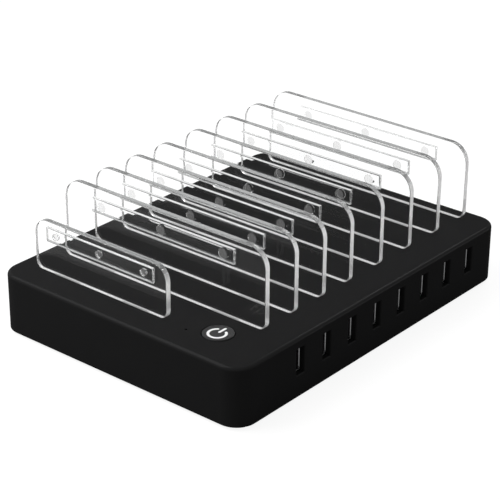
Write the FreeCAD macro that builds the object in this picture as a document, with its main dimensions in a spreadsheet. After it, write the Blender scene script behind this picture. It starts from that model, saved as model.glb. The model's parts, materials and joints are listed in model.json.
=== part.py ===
import FreeCAD, Part
import math
import os
import re
import Sketcher

# A USB charging station: a flat box that holds a mains supply, with sockets along one long wall,
# a power button on top and a row of clear dividers that lift out of slots in the top.
# Millimetres. X is the width, with the sockets on +X. Y is the length, with the button end at -Y.
# Z is up, from the surface that the feet stand on.

FRONT_GAPS = 4
PEGS_PER_STRIP = 3
CONTACTS_PER_SOCKET = 4
VENT_COUNT = 9
SINK_FIN_COUNT = 5

SIZES = {
    # casing
    "case_width": 150.0,
    "case_length": 203.0,
    "case_height": 30.0,
    "case_corner": 10.5,
    "case_wall": 2.8,
    "top_thickness": 2.5,
    "top_edge_round": 2.0,
    "bottom_edge_round": 0.6,
    # base plate, its vents and the feet
    "base_thickness": 3.0,
    "base_gap": 0.2,
    "vent_length": 26.0,
    "vent_width": 2.0,
    "vent_pitch": 6.0,
    "foot_diameter": 14.0,
    "foot_proud": 1.5,
    "foot_sink": 1.0,
    "foot_fit": 0.2,
    "foot_bevel": 0.5,
    "foot_inset_x": 26.0,
    "foot_inset_y": 24.0,
    # screws that close the housing
    "screw_inset_x": 12.0,
    "screw_inset_y": 11.0,
    "screw_diameter": 3.0,
    "screw_length": 10.0,
    "screw_fit": 0.05,
    "screw_head_diameter": 5.6,
    "screw_head_height": 1.5,
    "screw_head_sink": 0.2,
    "screw_head_fit": 0.3,
    "cross_length": 3.2,
    "cross_width": 0.7,
    "cross_depth": 0.8,
    "boss_diameter": 7.5,
    # dividers
    "divider_margin": 10.8,
    "first_divider_inset": 15.0,
    "front_pitch": 20.5,
    "rear_pitch": 23.7,
    "divider_thickness": 3.0,
    "large_divider_width": 124.0,
    "large_divider_height": 40.0,
    "large_divider_corner": 10.0,
    "small_divider_width": 83.6,
    "small_divider_height": 26.4,
    "small_divider_corner": 8.0,
    "divider_bottom_corner": 4.0,
    "divider_edge_round": 0.35,
    # tabs under the dividers and their sockets in the top
    "tab_width": 16.0,
    "tab_thickness": 2.2,
    "tab_depth": 7.0,
    "large_tab_spacing": 76.0,
    "small_tab_spacing": 44.0,
    "tab_fit": 0.2,
    "tab_end_gap": 0.3,
    "socket_wall": 1.2,
    "socket_floor": 1.0,
    # clear bumper strips on the dividers
    "large_strip_length": 87.5,
    "large_strip_drop": 8.9,
    "large_peg_diameter": 5.0,
    "large_peg_pitch": 37.4,
    "small_strip_length": 67.5,
    "small_strip_drop": 6.7,
    "small_peg_diameter": 3.5,
    "small_peg_pitch": 28.0,
    "strip_height": 7.2,
    "strip_thickness": 2.5,
    "strip_sink": 2.2,
    "strip_fit": 0.1,
    "strip_edge_round": 0.25,
    "peg_fit": 0.15,
    # power button and its symbol
    "button_inset_x": 30.3,
    "button_inset_y": 21.2,
    "button_diameter": 14.6,
    "button_fit": 0.3,
    "button_lip_bevel": 0.4,
    "button_proud": 0.2,
    "button_edge_round": 0.4,
    "button_travel": 1.2,
    "flange_width": 1.5,
    "flange_thickness": 1.0,
    "flange_gap": 0.2,
    "stem_diameter": 5.0,
    "stem_length": 3.0,
    "symbol_diameter": 9.5,
    "symbol_stroke": 1.25,
    "symbol_gap_angle": 36.0,
    "symbol_shift": 0.8,
    "bar_start": 1.0,
    "bar_end": 6.3,
    "symbol_depth": 0.8,
    "symbol_fit": 0.03,
    # switch, its board and the indicator lamp
    "switch_width": 6.0,
    "switch_height": 3.5,
    "plunger_diameter": 3.2,
    "plunger_proud": 1.4,
    "plunger_inside": 1.0,
    "plunger_fit": 0.3,
    "switch_board_width": 32.0,
    "switch_board_length": 22.0,
    "switch_board_shift": 2.2,
    "switch_post_diameter": 5.5,
    "switch_post_spacing": 25.0,
    "switch_post_shift": 7.8,
    "lamp_offset_x": 13.2,
    "lamp_offset_y": 6.7,
    "lamp_hole_diameter": 1.3,
    "lamp_diameter": 3.0,
    "lamp_body_height": 4.0,
    "lamp_collar": 0.4,
    "lamp_gap": 0.3,
    "lamp_lead_width": 0.5,
    "lamp_lead_spacing": 2.54,
    "link_width": 12.0,
    "link_length": 5.0,
    # main board
    "board_thickness": 1.6,
    "board_gap": 1.0,
    "board_notch_x": 15.0,
    "board_notch_y": 14.0,
    "board_post_x": 40.0,
    "board_post_y": 72.0,
    "board_post_shift": 2.2,
    "board_post_diameter": 6.5,
    "board_screw_diameter": 2.5,
    "board_screw_length": 7.0,
    "board_screw_head_diameter": 4.6,
    "board_screw_head_height": 1.7,
    "board_hole_fit": 0.15,
    # USB sockets
    "port_inset_y": 42.2,
    "port_pitch": 19.1,
    "port_height": 18.0,
    "port_opening_height": 13.3,
    "port_opening_width": 5.6,
    "port_bevel": 0.4,
    "shell_height": 13.1,
    "shell_width": 5.7,
    "shell_depth": 14.0,
    "shell_wall": 0.35,
    "shell_gap": 0.2,
    "shell_lead_in": 0.25,
    "insulator_fit": 0.1,
    "insulator_depth": 3.0,
    "tongue_width": 11.1,
    "tongue_thickness": 1.84,
    "tongue_setback": 1.2,
    "tongue_offset": 0.7,
    "contact_width": 1.0,
    "contact_thickness": 0.2,
    "contact_length": 7.4,
    "contact_pitch": 2.3,
    # mains inlet
    "inlet_body_width": 22.0,
    "inlet_body_height": 11.6,
    "inlet_body_depth": 17.0,
    "inlet_fit": 0.2,
    "inlet_rim": 1.0,
    "inlet_lobe_diameter": 7.6,
    "inlet_waist_height": 6.4,
    "inlet_cavity_depth": 13.0,
    "inlet_pin_spacing": 8.6,
    "inlet_pin_diameter": 2.4,
    "inlet_pin_setback": 2.0,
    "inlet_pin_tail": 1.0,
    "inlet_pin_fit": 0.05,
    # mains supply on the main board
    "supply_gap": 2.5,
    "choke_diameter": 16.0,
    "choke_wire_diameter": 5.0,
    "choke_offset": 17.0,
    "fuse_diameter": 5.2,
    "fuse_length": 20.0,
    "rectifier_width": 15.0,
    "rectifier_thickness": 4.0,
    "rectifier_height": 10.5,
    "bulk_diameter": 12.5,
    "bulk_length": 25.0,
    "core_width": 30.0,
    "core_length": 26.0,
    "core_height": 9.0,
    "core_leg": 8.0,
    "core_window_width": 20.4,
    "core_window_length": 5.2,
    "winding_build": 2.8,
    "winding_fit": 0.1,
    "sink_width": 36.0,
    "sink_length": 22.0,
    "sink_height": 13.0,
    "sink_thickness": 2.0,
    "sink_fin_thickness": 1.2,
    "sink_fin_pitch": 4.6,
    "output_diameter": 8.0,
    "output_height": 11.5,
    "output_inset": 24.0,
    "chip_length": 5.0,
    "chip_width": 6.0,
    "chip_height": 1.6,
}

doc = FreeCAD.newDocument("charging_station")
sheet = doc.addObject("Spreadsheet::Sheet", "Sizes")
for row, (alias, number) in enumerate(SIZES.items(), start=1):
    sheet.set(f"A{row}", alias)
    sheet.set(f"B{row}", str(number))
    sheet.setAlias(f"B{row}", alias)
doc.recompute()

# Levels and places, as expressions of the sizes
CASE_TOP = "(foot_proud + case_height)"
CEILING = f"({CASE_TOP} - top_thickness)"
BASE_TOP = "(foot_proud + base_thickness)"
INNER_X = "(case_width/2 - case_wall)"
INNER_Y = "(case_length/2 - case_wall)"
DIVIDER_LEFT = "(-case_width/2 + divider_margin)"
TAB_BOTTOM = f"({CASE_TOP} - tab_depth)"
BUTTON_X = "(case_width/2 - button_inset_x)"
BUTTON_Y = "(-case_length/2 + button_inset_y)"
FLANGE_TOP = f"({CEILING} - flange_gap)"
FLANGE_BOTTOM = f"({FLANGE_TOP} - flange_thickness)"
STEM_BOTTOM = f"({FLANGE_BOTTOM} - stem_length)"
SWITCH_TOP = f"({STEM_BOTTOM} - plunger_proud)"
SWITCH_BOARD_TOP = f"({SWITCH_TOP} - switch_height)"
SWITCH_BOARD_BOTTOM = f"({SWITCH_BOARD_TOP} - board_thickness)"
SWITCH_BOARD_X = f"({BUTTON_X} - switch_board_shift)"
SWITCH_POST_Y = f"({BUTTON_Y} + switch_post_shift)"
LAMP_X = f"({BUTTON_X} - lamp_offset_x)"
LAMP_Y = f"({BUTTON_Y} - lamp_offset_y)"
PORT_Z = "(foot_proud + port_height)"
SHELL_MOUTH = f"({INNER_X} - shell_gap)"
SHELL_BACK = f"({SHELL_MOUTH} - shell_depth)"
BOARD_TOP = f"({PORT_Z} - shell_height/2)"
BOARD_BOTTOM = f"({BOARD_TOP} - board_thickness)"
INLET_Z = f"({BOARD_TOP} + inlet_body_height/2)"
INLET_FRONT = f"({INNER_Y} - inlet_body_depth)"
SUPPLY_X = f"({DIVIDER_LEFT} + large_divider_width/2)"
CHOKE_Y = f"({INLET_FRONT} - supply_gap - choke_diameter/2)"
BULK_Y = f"({CHOKE_Y} - choke_diameter/2 - supply_gap - bulk_diameter/2)"
CORE_Y = f"({BULK_Y} - 1.5*bulk_diameter - 2*supply_gap - core_length/2)"
SINK_Y = f"({CORE_Y} - core_length/2 - supply_gap - sink_length/2)"

parts = []


def linked(text):
    """An expression with every size written as a cell of the sheet."""
    return re.sub(r"[a-z_]+", lambda word: f"Sizes.{word[0]}" if word[0] in SIZES else word[0], str(text))


def value(text):
    """The number that an expression gives now."""
    return float(sheet.evalExpression(linked(text)))


def steps_in(room, pitch):
    """How many whole steps of a row fit in a room."""
    return int(value(room) // value(pitch))


# Rows that take as many copies as the casing holds: dividers up to the rear wall, sockets up to the
# notch in the board at the rear screw
SOCKET_REACH = "((divider_thickness + tab_thickness)/2 + tab_fit + socket_wall)"
REAR_ROOM = f"(case_length - case_wall - {SOCKET_REACH} - first_divider_inset - {FRONT_GAPS}*front_pitch)"
PORT_ROOM = "(case_length - case_wall - board_gap - board_notch_y - shell_width/2 - port_inset_y)"
DIVIDER_COUNT = 1 + FRONT_GAPS + steps_in(REAR_ROOM, "rear_pitch")
SOCKET_COUNT = 1 + steps_in(PORT_ROOM, "port_pitch")
CHIP_COUNT = SOCKET_COUNT // 2


def bind(piece, expressions):
    """Ties properties of a piece to expressions of the sizes."""
    for name, text in expressions.items():
        piece.setExpression(name, linked(text))


def keep(piece, label):
    """Names a finished sub-part and adds it to those that are written."""
    piece.Label = label
    parts.append(piece)
    return piece


# Solids
def box(name, low, high):
    """A block between two corners."""
    piece = doc.addObject("Part::Box", name)
    for size, axis, start, end in zip(("Length", "Width", "Height"), "xyz", low, high):
        bind(piece, {size: f"{end} - ({start})", f"Placement.Base.{axis}": start})
    return piece


def place(piece, start, turn):
    """Turns a piece, then moves it to a point given by expressions."""
    piece.Placement = FreeCAD.Placement(FreeCAD.Vector(), turn)
    for axis, text in zip("xyz", start):
        bind(piece, {f"Placement.Base.{axis}": text})


TURNS = {
    "x": FreeCAD.Rotation(FreeCAD.Vector(0, 1, 0), 90),
    "y": FreeCAD.Rotation(FreeCAD.Vector(1, 0, 0), -90),
    "z": FreeCAD.Rotation(),
}


def rod(name, start, diameter, length, along="z"):
    """A cylinder that runs from a point along one axis."""
    piece = doc.addObject("Part::Cylinder", name)
    bind(piece, {"Radius": f"({diameter})/2", "Height": length})
    place(piece, start, TURNS[along])
    return piece


def taper(name, start, low_diameter, high_diameter, length):
    """An upright cone."""
    piece = doc.addObject("Part::Cone", name)
    bind(piece, {"Radius1": f"({low_diameter})/2", "Radius2": f"({high_diameter})/2", "Height": length})
    place(piece, start, TURNS["z"])
    return piece


def mouth(name, start, width, height, bevel):
    """A tool that widens a square opening along +X, by the bevel on every side, and goes on past it."""
    piece = doc.addObject("Part::Wedge", name)
    bind(piece, {
        "Xmin": f"-({width})/2", "Xmax": f"({width})/2", "Zmin": f"-({height})/2", "Zmax": f"({height})/2",
        "Ymin": "0", "Ymax": f"2*({bevel})",
        "X2min": f"-({width})/2 - 2*({bevel})", "X2max": f"({width})/2 + 2*({bevel})",
        "Z2min": f"-({height})/2 - 2*({bevel})", "Z2max": f"({height})/2 + 2*({bevel})",
    })
    place(piece, start, FreeCAD.Rotation(FreeCAD.Vector(0, 0, 1), -90))
    return piece


def join(name, pieces):
    """One solid of several pieces."""
    piece = doc.addObject("Part::MultiFuse", name)
    piece.Shapes = pieces
    piece.Refine = True
    return piece


def cut(name, base, tools):
    """A piece with tools taken out of it."""
    piece = doc.addObject("Part::Cut", name)
    piece.Base = base
    piece.Tool = tools[0] if len(tools) == 1 else join(f"{name}_tools", tools)
    piece.Refine = True
    return piece


def group(name, pieces):
    """Separate solids that share one node."""
    piece = doc.addObject("Part::Compound", name)
    piece.Links = pieces
    return piece


# Sketched bodies
def new_sketch(body, role, centre):
    """A sketch on one of the body's origin planes, moved to a centre in the plane's own axes."""
    sketch = body.newObject("Sketcher::SketchObject", f"{body.Name}_outline")
    plane = next(item for item in body.Origin.OriginFeatures if item.Role == role)
    sketch.AttachmentSupport = (plane, [""])
    sketch.MapMode = "FlatFace"
    for axis, text in zip("xyz", centre):
        bind(sketch, {f"AttachmentOffset.Base.{axis}": text})
    return sketch


def set_sizes(sketch, constraints):
    """Adds the driving constraints and ties each to its expression."""
    for name, (constraint, text) in constraints.items():
        index = sketch.addConstraint(constraint)
        sketch.renameConstraint(index, name)
        bind(sketch, {f"Constraints.{name}": text})


def draw_rectangle(sketch, width, height):
    """A rectangle centred on the sketch's origin."""
    half_width = value(width) / 2
    half_height = value(height) / 2
    signs = ((1, 1), (-1, 1), (-1, -1), (1, -1))
    corners = [FreeCAD.Vector(x * half_width, y * half_height, 0) for x, y in signs]
    for index in range(4):
        sketch.addGeometry(Part.LineSegment(corners[index], corners[(index + 1) % 4]))
    for index in range(4):
        sketch.addConstraint(Sketcher.Constraint("Coincident", index, 2, (index + 1) % 4, 1))
        sketch.addConstraint(Sketcher.Constraint("Vertical" if index % 2 else "Horizontal", index))
    sketch.addConstraint(Sketcher.Constraint("Symmetric", 0, 1, 2, 1, -1, 1))
    set_sizes(sketch, {
        "width": (Sketcher.Constraint("DistanceX", 0, 2, 0, 1, 2 * half_width), width),
        "height": (Sketcher.Constraint("DistanceY", 1, 2, 1, 1, 2 * half_height), height),
    })


def draw_rounded_rectangle(sketch, width, height, radius):
    """A rectangle with round corners, centred on the sketch's origin."""
    corner = value(radius)
    inner_x = value(width) / 2 - corner
    inner_y = value(height) / 2 - corner
    quarter = math.pi / 2
    for index, (x, y) in enumerate(((1, 1), (-1, 1), (-1, -1), (1, -1))):
        circle = Part.Circle(FreeCAD.Vector(x * inner_x, y * inner_y, 0), FreeCAD.Vector(0, 0, 1), corner)
        sketch.addGeometry(Part.ArcOfCircle(circle, index * quarter, (index + 1) * quarter))
    for index in range(4):
        start = sketch.Geometry[index].EndPoint
        end = sketch.Geometry[(index + 1) % 4].StartPoint
        sketch.addGeometry(Part.LineSegment(start, end))
    for index in range(4):
        line = 4 + index
        sketch.addConstraint(Sketcher.Constraint("Tangent", index, 2, line, 1))
        sketch.addConstraint(Sketcher.Constraint("Tangent", line, 2, (index + 1) % 4, 1))
        sketch.addConstraint(Sketcher.Constraint("Vertical" if index % 2 else "Horizontal", line))
    for index in range(1, 4):
        sketch.addConstraint(Sketcher.Constraint("Equal", 0, index))
    sketch.addConstraint(Sketcher.Constraint("Symmetric", 0, 3, 2, 3, -1, 1))
    set_sizes(sketch, {
        "width": (Sketcher.Constraint("DistanceX", 5, 1, 7, 1, value(width)), width),
        "height": (Sketcher.Constraint("DistanceY", 6, 1, 4, 1, value(height)), height),
        "radius": (Sketcher.Constraint("Radius", 0, corner), radius),
    })


def pad(body, sketch, length):
    """Raises a sketch along its plane's normal."""
    feature = body.newObject("PartDesign::Pad", f"{body.Name}_pad")
    feature.Profile = sketch
    bind(feature, {"Length": length})
    doc.recompute()


def round_edges(body, radius, chosen):
    """Rounds the edges of the body so far that a test chooses."""
    base = body.Tip
    names = [f"Edge{number}" for number, edge in enumerate(base.Shape.Edges, start=1) if chosen(edge)]
    feature = body.newObject("PartDesign::Fillet", f"{body.Name}_round")
    feature.Base = (base, names)
    bind(feature, {"Radius": radius})
    doc.recompute()


def lies_at(axis, level):
    """A test for edges that lie wholly in one plane."""
    height = value(level)
    side = axis.upper()
    near = lambda number: abs(number - height) < 1e-4
    return lambda edge: near(getattr(edge.BoundBox, f"{side}Min")) and near(getattr(edge.BoundBox, f"{side}Max"))


def runs_along_y_at(level):
    """A test for straight edges along Y at one height."""
    flat = lies_at("z", level)
    return lambda edge: flat(edge) and edge.BoundBox.XLength < 1e-4


def slab(name, width, length, corner, bottom, top):
    """A flat block with round upright corners, centred on the Z axis."""
    body = doc.addObject("PartDesign::Body", name)
    sketch = new_sketch(body, "XY_Plane", ("0", "0", bottom))
    draw_rounded_rectangle(sketch, width, length, corner)
    pad(body, sketch, f"{top} - ({bottom})")
    return body


def standing_plate(name, centre_x, bottom, width, height, front, thickness):
    """An upright rectangular plate across the width, given by its front face."""
    body = doc.addObject("PartDesign::Body", name)
    centre_z = f"({bottom}) + ({height})/2"
    sketch = new_sketch(body, "XZ_Plane", (centre_x, centre_z, f"-({front}) - ({thickness})"))
    draw_rectangle(sketch, width, height)
    pad(body, sketch, thickness)
    return body


def four_corners(x, y):
    """The four places that mirror one place in both axes."""
    return [(f"{side_x}*({x})", f"{side_y}*({y})") for side_x in (1, -1) for side_y in (1, -1)]


SCREW_PLACES = four_corners("case_width/2 - screw_inset_x", "case_length/2 - screw_inset_y")
FOOT_PLACES = four_corners("case_width/2 - foot_inset_x", "case_length/2 - foot_inset_y")
BOARD_POST_PLACES = [
    (f"({SUPPLY_X} + board_post_shift + {x})", y) for x, y in four_corners("board_post_x", "board_post_y")
]
SWITCH_POST_PLACES = [(f"({SWITCH_BOARD_X} {sign} switch_post_spacing/2)", SWITCH_POST_Y) for sign in "-+"]


# Dividers
def divider_kind(index):
    """Dividers count from the front. The first one is small."""
    return "small" if index == 0 else "large"


def divider_front(index):
    """Where a divider's front face stands along Y."""
    front_steps = min(index, FRONT_GAPS)
    rear_steps = max(index - FRONT_GAPS, 0)
    steps = f"{front_steps}*front_pitch + {rear_steps}*rear_pitch"
    return f"(-case_length/2 + first_divider_inset + {steps})"


def divider_centre(index):
    return f"({DIVIDER_LEFT} + {divider_kind(index)}_divider_width/2)"


def tab_centres(index):
    spacing = f"{divider_kind(index)}_tab_spacing/2"
    return [f"({divider_centre(index)} {sign} {spacing})" for sign in "-+"]


def tab_block(name, index, centre, grow, bottom, top):
    """A block round one tab's middle, grown on its four upright sides."""
    middle = f"({divider_front(index)} + divider_thickness/2)"
    low = (f"{centre} - tab_width/2 - ({grow})", f"{middle} - tab_thickness/2 - ({grow})", bottom)
    high = (f"{centre} + tab_width/2 + ({grow})", f"{middle} + tab_thickness/2 + ({grow})", top)
    return box(name, low, high)


def strip_centre_z(index):
    kind = divider_kind(index)
    return f"({CASE_TOP} + {kind}_divider_height - {kind}_strip_drop)"


def peg_rods(name, index, grow):
    """The pegs that hold a divider's strip, or the holes for them, from the pocket to the strip's front."""
    kind = divider_kind(index)
    front = f"({divider_front(index)} + strip_sink - strip_thickness)"
    rods = []
    for peg in range(PEGS_PER_STRIP):
        step = peg - (PEGS_PER_STRIP - 1) / 2
        start = (f"{divider_centre(index)} + {step}*{kind}_peg_pitch", front, strip_centre_z(index))
        rods.append(rod(f"{name}_{peg + 1}", start, f"{kind}_peg_diameter + 2*({grow})", "strip_thickness", "y"))
    return rods


def divider(index):
    """A clear plate with a pocket and pegs for its strip and two tabs under it."""
    name = f"divider_{index + 1}"
    kind = divider_kind(index)
    width = f"{kind}_divider_width"
    height = f"{kind}_divider_height"
    front = divider_front(index)
    plate = standing_plate(
        f"{name}_plate", divider_centre(index), CASE_TOP, width, height, front, "divider_thickness")
    round_edges(plate, f"{kind}_divider_corner", runs_along_y_at(f"{CASE_TOP} + {height}"))
    round_edges(plate, "divider_bottom_corner", runs_along_y_at(CASE_TOP))
    at_front = lies_at("y", front)
    at_back = lies_at("y", f"{front} + divider_thickness")
    round_edges(plate, "divider_edge_round", lambda edge: at_front(edge) or at_back(edge))
    reach = f"({kind}_strip_length/2 + strip_fit)"
    rise = "(strip_height/2 + strip_fit)"
    pocket = box(
        f"{name}_pocket",
        (f"{divider_centre(index)} - {reach}", f"{front} - strip_sink", f"{strip_centre_z(index)} - {rise}"),
        (f"{divider_centre(index)} + {reach}", f"{front} + strip_sink", f"{strip_centre_z(index)} + {rise}"))
    sunk = cut(f"{name}_sunk", plate, [pocket])
    tab_top = f"{CASE_TOP} + divider_bottom_corner"
    tabs = [
        tab_block(f"{name}_tab_{side}", index, centre, "0", TAB_BOTTOM, tab_top)
        for side, centre in enumerate(tab_centres(index), start=1)
    ]
    keep(join(name, [sunk] + tabs + peg_rods(f"{name}_peg", index, "0")), name)


def bumper_strip(index):
    """A soft strip pressed over the pegs of a divider."""
    name = f"bumper_strip_{index + 1}"
    kind = divider_kind(index)
    front = f"({divider_front(index)} + strip_sink - strip_thickness)"
    strip = standing_plate(
        f"{name}_strip", divider_centre(index), f"{strip_centre_z(index)} - strip_height/2",
        f"{kind}_strip_length", "strip_height", front, "strip_thickness")
    round_edges(strip, "strip_edge_round", lies_at("y", front))
    keep(cut(name, strip, peg_rods(f"{name}_hole", index, "peg_fit")), name)


# Housing
def port_y(index):
    return f"(-case_length/2 + port_inset_y + {index}*port_pitch)"


def figure_eight(name, grow, waist, start_y, length):
    """Two round lobes and a waist, along Y, centred on the inlet."""
    lobes = [
        rod(f"{name}_lobe_{side}", (f"{sign}inlet_pin_spacing/2", start_y, INLET_Z),
            f"inlet_lobe_diameter + 2*({grow})", length, "y")
        for side, sign in (("left", "-"), ("right", ""))
    ]
    middle = box(
        f"{name}_waist",
        ("-inlet_pin_spacing/2", start_y, f"{INLET_Z} - ({waist})/2"),
        ("inlet_pin_spacing/2", f"{start_y} + {length}", f"{INLET_Z} + ({waist})/2"))
    return join(name, lobes + [middle])


def inlet_snout(name, grow, start_y, length):
    """The inlet's outer shape where it passes the rear wall."""
    side = f"(inlet_rim + {grow})"
    return figure_eight(name, side, f"inlet_lobe_diameter + 2*{side}", start_y, length)


def divider_sockets():
    """Closed pockets under the top that take the dividers' tabs, and the slots that open them."""
    blocks = []
    slots = []
    floor = f"{TAB_BOTTOM} - tab_end_gap"
    for index in range(DIVIDER_COUNT):
        for side, centre in enumerate(tab_centres(index), start=1):
            tag = f"{index + 1}_{side}"
            blocks.append(tab_block(
                f"socket_{tag}", index, centre, "tab_fit + socket_wall", f"{floor} - socket_floor",
                f"{CEILING} + top_thickness/2"))
            slots.append(tab_block(
                f"slot_{tag}", index, centre, "tab_fit", floor, f"{CASE_TOP} + top_thickness"))
    return blocks, slots


def port_openings():
    """Square openings through the socket wall, each with a bevelled mouth."""
    tools = []
    for index in range(SOCKET_COUNT):
        y = port_y(index)
        half_width = "port_opening_width/2"
        half_height = "port_opening_height/2"
        tools.append(box(
            f"port_{index + 1}_opening",
            (f"{INNER_X} - shell_gap", f"{y} - {half_width}", f"{PORT_Z} - {half_height}"),
            ("case_width/2 + case_wall", f"{y} + {half_width}", f"{PORT_Z} + {half_height}")))
        tools.append(mouth(
            f"port_{index + 1}_mouth", ("case_width/2 - port_bevel", y, PORT_Z),
            "port_opening_width", "port_opening_height", "port_bevel"))
    return tools


def upper_housing():
    """Top and walls in one moulding, with screw bosses, divider sockets and the switch board's posts."""
    blank = slab("housing_blank", "case_width", "case_length", "case_corner", "foot_proud", CASE_TOP)
    round_edges(blank, "top_edge_round", lies_at("z", CASE_TOP))
    round_edges(blank, "bottom_edge_round", lies_at("z", "foot_proud"))
    cavity = slab(
        "housing_cavity", f"2*{INNER_X}", f"2*{INNER_Y}", "case_corner - case_wall", "0", CEILING)
    shell = cut("housing_shell", blank, [cavity])
    sockets, slots = divider_sockets()
    rooted = f"{CEILING} + top_thickness/2"
    bosses = [
        rod(f"boss_{number}", (x, y, BASE_TOP), "boss_diameter", f"{rooted} - {BASE_TOP}")
        for number, (x, y) in enumerate(SCREW_PLACES, start=1)
    ]
    posts = [
        rod(f"switch_post_{number}", (x, y, SWITCH_BOARD_TOP), "switch_post_diameter",
            f"{rooted} - {SWITCH_BOARD_TOP}")
        for number, (x, y) in enumerate(SWITCH_POST_PLACES, start=1)
    ]
    solid = join("housing_solid", [shell] + sockets + bosses + posts)
    pilots = [
        rod(f"boss_{number}_pilot", (x, y, BASE_TOP), "screw_diameter + 2*screw_fit", "screw_length")
        for number, (x, y) in enumerate(SCREW_PLACES, start=1)
    ]
    pilots += [
        rod(f"switch_post_{number}_pilot", (x, y, SWITCH_BOARD_TOP), "board_screw_diameter + 2*screw_fit",
            "board_screw_length")
        for number, (x, y) in enumerate(SWITCH_POST_PLACES, start=1)
    ]
    hole_diameter = "button_diameter + 2*button_fit"
    button_hole = rod(
        "button_hole", (BUTTON_X, BUTTON_Y, f"{CEILING} - flange_gap"), hole_diameter, "2*top_thickness")
    button_lip = taper(
        "button_lip", (BUTTON_X, BUTTON_Y, f"{CASE_TOP} - button_lip_bevel"), hole_diameter,
        f"{hole_diameter} + 4*button_lip_bevel", "2*button_lip_bevel")
    lamp_hole = rod(
        "lamp_hole", (LAMP_X, LAMP_Y, f"{CEILING} - lamp_gap"), "lamp_hole_diameter", "2*top_thickness")
    inlet_hole = inlet_snout("inlet_hole", "inlet_fit", f"{INNER_Y} - inlet_fit", "2*case_wall")
    tools = slots + pilots + port_openings() + [button_hole, button_lip, lamp_hole, inlet_hole]
    keep(cut("upper_housing", solid, tools), "upper_housing")


def base_plate():
    """The plate that closes the housing from below, with vents, foot recesses and board posts."""
    blank = slab(
        "base_blank", f"2*({INNER_X} - base_gap)", f"2*({INNER_Y} - base_gap)",
        "case_corner - case_wall - base_gap", "foot_proud", BASE_TOP)
    posts = [
        rod(f"board_post_{number}", (x, y, "foot_proud + base_thickness/2"), "board_post_diameter",
            f"{BOARD_BOTTOM} - foot_proud - base_thickness/2")
        for number, (x, y) in enumerate(BOARD_POST_PLACES, start=1)
    ]
    solid = join("base_solid", [blank] + posts)
    pilot_depth = "(board_screw_length - board_thickness)"
    tools = [
        rod(f"board_post_{number}_pilot", (x, y, f"{BOARD_BOTTOM} - {pilot_depth}"),
            "board_screw_diameter + 2*screw_fit", f"2*{pilot_depth}")
        for number, (x, y) in enumerate(BOARD_POST_PLACES, start=1)
    ]
    for number, (x, y) in enumerate(FOOT_PLACES, start=1):
        tools.append(rod(
            f"foot_recess_{number}", (x, y, "0"), "foot_diameter + 2*foot_fit", "foot_proud + foot_sink"))
    for number, (x, y) in enumerate(SCREW_PLACES, start=1):
        tools.append(rod(
            f"screw_hole_{number}", (x, y, "0"), "screw_diameter + 2*board_hole_fit", f"2*{BASE_TOP}"))
        tools.append(rod(
            f"screw_sink_{number}", (x, y, "0"), "screw_head_diameter + 2*screw_head_fit",
            "foot_proud + screw_head_sink + screw_head_height"))
    for side in (1, -1):
        for number in range(VENT_COUNT):
            x = f"{number - (VENT_COUNT - 1) / 2}*vent_pitch"
            y = f"{side}*vent_length"
            tools.append(box(
                f"vent_{side + 2}_{number + 1}",
                (f"{x} - vent_width/2", f"{y} - vent_length/2", "0"),
                (f"{x} + vent_width/2", f"{y} + vent_length/2", f"2*{BASE_TOP}")))
    keep(cut("base_plate", solid, tools), "base_plate")


def rubber_feet():
    """Four round feet, let into the base plate, with bevelled lower edges."""
    feet = []
    for number, (x, y) in enumerate(FOOT_PLACES, start=1):
        edge = taper(
            f"foot_{number}_edge", (x, y, "0"), "foot_diameter - 2*foot_bevel", "foot_diameter", "foot_bevel")
        top = rod(
            f"foot_{number}_top", (x, y, "foot_bevel"), "foot_diameter", "foot_proud + foot_sink - foot_bevel")
        feet.append(join(f"foot_{number}", [edge, top]))
    keep(group("rubber_feet", feet), "rubber_feet")


# Screws
def screw(name, place_xy, seat, size, shank_length, points):
    """A cross-head screw whose head seats at a height and whose shank points up (1) or down (-1)."""
    x, y = place_xy
    low = {1: f"({seat}) - {size}_head_height", -1: seat}[points]
    head = rod(f"{name}_head", (x, y, low), f"{size}_head_diameter", f"{size}_head_height")
    tail = {1: seat, -1: f"({seat}) - {shank_length}"}[points]
    shank = rod(f"{name}_shank", (x, y, tail), f"{size}_diameter", shank_length)
    face = {1: low, -1: f"{low} + {size}_head_height - cross_depth"}[points]
    bars = []
    for bar, (half_x, half_y) in (("a", ("cross_length/2", "cross_width/2")),
                                  ("b", ("cross_width/2", "cross_length/2"))):
        bars.append(box(
            f"{name}_cross_{bar}", (f"{x} - {half_x}", f"{y} - {half_y}", face),
            (f"{x} + {half_x}", f"{y} + {half_y}", f"{face} + cross_depth")))
    return cut(name, join(f"{name}_blank", [head, shank]), bars)


def housing_screws():
    seat = "foot_proud + screw_head_sink + screw_head_height"
    screws = [
        screw(f"housing_screw_{number}", corner, seat, "screw", "screw_length", 1)
        for number, corner in enumerate(SCREW_PLACES, start=1)
    ]
    keep(group("housing_screws", screws), "housing_screws")


def board_screws():
    """Four screws hold the main board on its posts, and two hold the switch board under the top."""
    screws = [
        screw(f"board_screw_{number}", corner, BOARD_TOP, "board_screw", "board_screw_length", -1)
        for number, corner in enumerate(BOARD_POST_PLACES, start=1)
    ]
    screws += [
        screw(f"switch_screw_{number}", post, SWITCH_BOARD_BOTTOM, "board_screw", "board_screw_length", 1)
        for number, post in enumerate(SWITCH_POST_PLACES, start=1)
    ]
    keep(group("board_screws", screws), "board_screws")


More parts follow.
